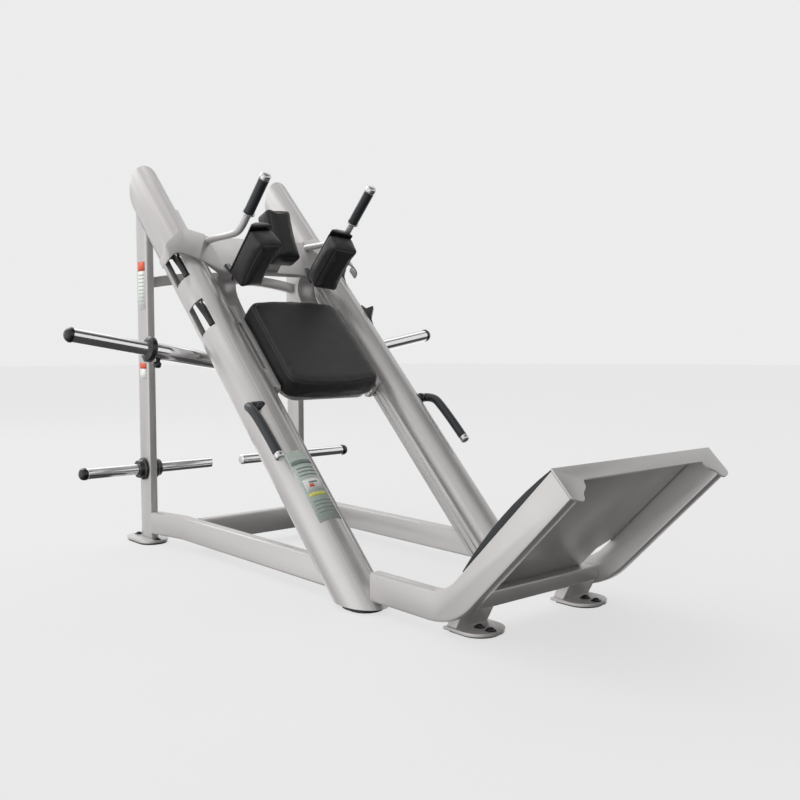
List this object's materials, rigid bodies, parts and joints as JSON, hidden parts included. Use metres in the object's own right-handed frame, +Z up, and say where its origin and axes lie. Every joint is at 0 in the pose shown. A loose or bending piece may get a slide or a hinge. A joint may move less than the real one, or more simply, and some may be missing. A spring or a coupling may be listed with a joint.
{
  "type": "leg press machine",
  "caption": "Plate-loaded squat-style leg press: a padded back rest carriage slides on two inclined oval tubes above a fixed footplate.",
  "frame": {"origin": "centre of the bounding box at floor level", "axes": "+Z up, -Y towards the footplate end, +X to the machine's right seen from the footplate end"},
  "size_m": [1.6598, 2.254, 1.5018],
  "materials": {
    "painted_steel": "satin metallic",
    "chrome": "polished",
    "vinyl": "matte grained vinyl",
    "rubber": "matte",
    "black_plastic": "semi-gloss",
    "alloy": "satin"
  },
  "bodies": {
    "frame": {"left_main_tube": "painted_steel", "right_main_tube": "painted_steel", "left_guide_rail": "painted_steel", "right_guide_rail": "painted_steel", "left_upright": "painted_steel", "right_upright": "painted_steel", "top_crossbar": "painted_steel", "left_rear_beam": "painted_steel", "right_rear_beam": "painted_steel", "rear_crossbar": "painted_steel", "left_front_beam": "painted_steel", "right_front_beam": "painted_steel", "front_crossbar": "painted_steel", "footplate": "painted_steel", "footplate_end_cap": "painted_steel", "footplate_mat": "rubber", "left_front_foot_rubber": "rubber", "right_front_foot_rubber": "rubber", "left_rear_foot": "painted_steel", "right_rear_foot": "painted_steel", "left_rear_foot_rubber": "rubber", "right_rear_foot_rubber": "rubber", "left_storage_peg": "chrome", "right_storage_peg": "chrome", "left_peg_bush": "black_plastic", "right_peg_bush": "black_plastic", "left_peg_cap": "black_plastic", "right_peg_cap": "black_plastic", "left_tube_foot": "rubber", "right_tube_foot": "rubber"},
    "carriage": {"yoke": "painted_steel", "back_board": "painted_steel", "left_carriage_side": "painted_steel", "right_carriage_side": "painted_steel", "cross_tube": "painted_steel", "back_pad": "vinyl", "head_pad": "vinyl", "left_shoulder_pad": "vinyl", "right_shoulder_pad": "vinyl", "left_shoulder_bracket": "black_plastic", "right_shoulder_bracket": "black_plastic", "left_upper_handle": "alloy", "right_upper_handle": "alloy", "left_upper_grip": "rubber", "right_upper_grip": "rubber", "left_load_horn": "chrome", "right_load_horn": "chrome", "left_horn_collar": "black_plastic", "right_horn_collar": "black_plastic", "left_horn_cap": "black_plastic", "right_horn_cap": "black_plastic"},
    "left_lever": {"left_release_lever": "alloy", "left_lever_grip": "rubber"},
    "left_latch": {"left_latch_bar": "black_plastic"},
    "right_lever": {"right_release_lever": "alloy", "right_lever_grip": "rubber"},
    "right_latch": {"right_latch_bar": "black_plastic"}
  },
  "joints": [
    {"name": "carriage_slide", "type": "slide", "parent": "frame", "child": "carriage", "axis": [0, 0.7071, 0.7071], "range_m": [-0.6, 0.1]},
    {"name": "left_lever_turn", "type": "hinge", "parent": "frame", "child": "left_lever", "pos_m": [-0.36, 0.20067, 0.58124], "axis": [-1, 0, 0], "range_deg": [0, 25], "stiffness_Nm_per_rad": 8, "springref_deg": -34.38},
    {"name": "left_latch_turn", "type": "hinge", "parent": "frame", "child": "left_latch", "pos_m": [-0.353, 0.62635, 0.98146], "axis": [0, -0.7071, -0.7071], "range_deg": [0, 12], "stiffness_Nm_per_rad": 8, "springref_deg": -17.19},
    {"name": "right_lever_turn", "type": "hinge", "parent": "frame", "child": "right_lever", "pos_m": [0.36, 0.20067, 0.58124], "axis": [-1, 0, 0], "range_deg": [0, 25], "stiffness_Nm_per_rad": 8, "springref_deg": -34.38},
    {"name": "right_latch_turn", "type": "hinge", "parent": "frame", "child": "right_latch", "pos_m": [0.353, 0.62635, 0.98146], "axis": [0, 0.7071, 0.7071], "range_deg": [0, 12], "stiffness_Nm_per_rad": 8, "springref_deg": -17.19}
  ],
  "couplings": [
    {"joint": "left_latch_turn", "follows": "left_lever_turn", "ratio": 0.48},
    {"joint": "right_latch_turn", "follows": "right_lever_turn", "ratio": 0.48}
  ]
}
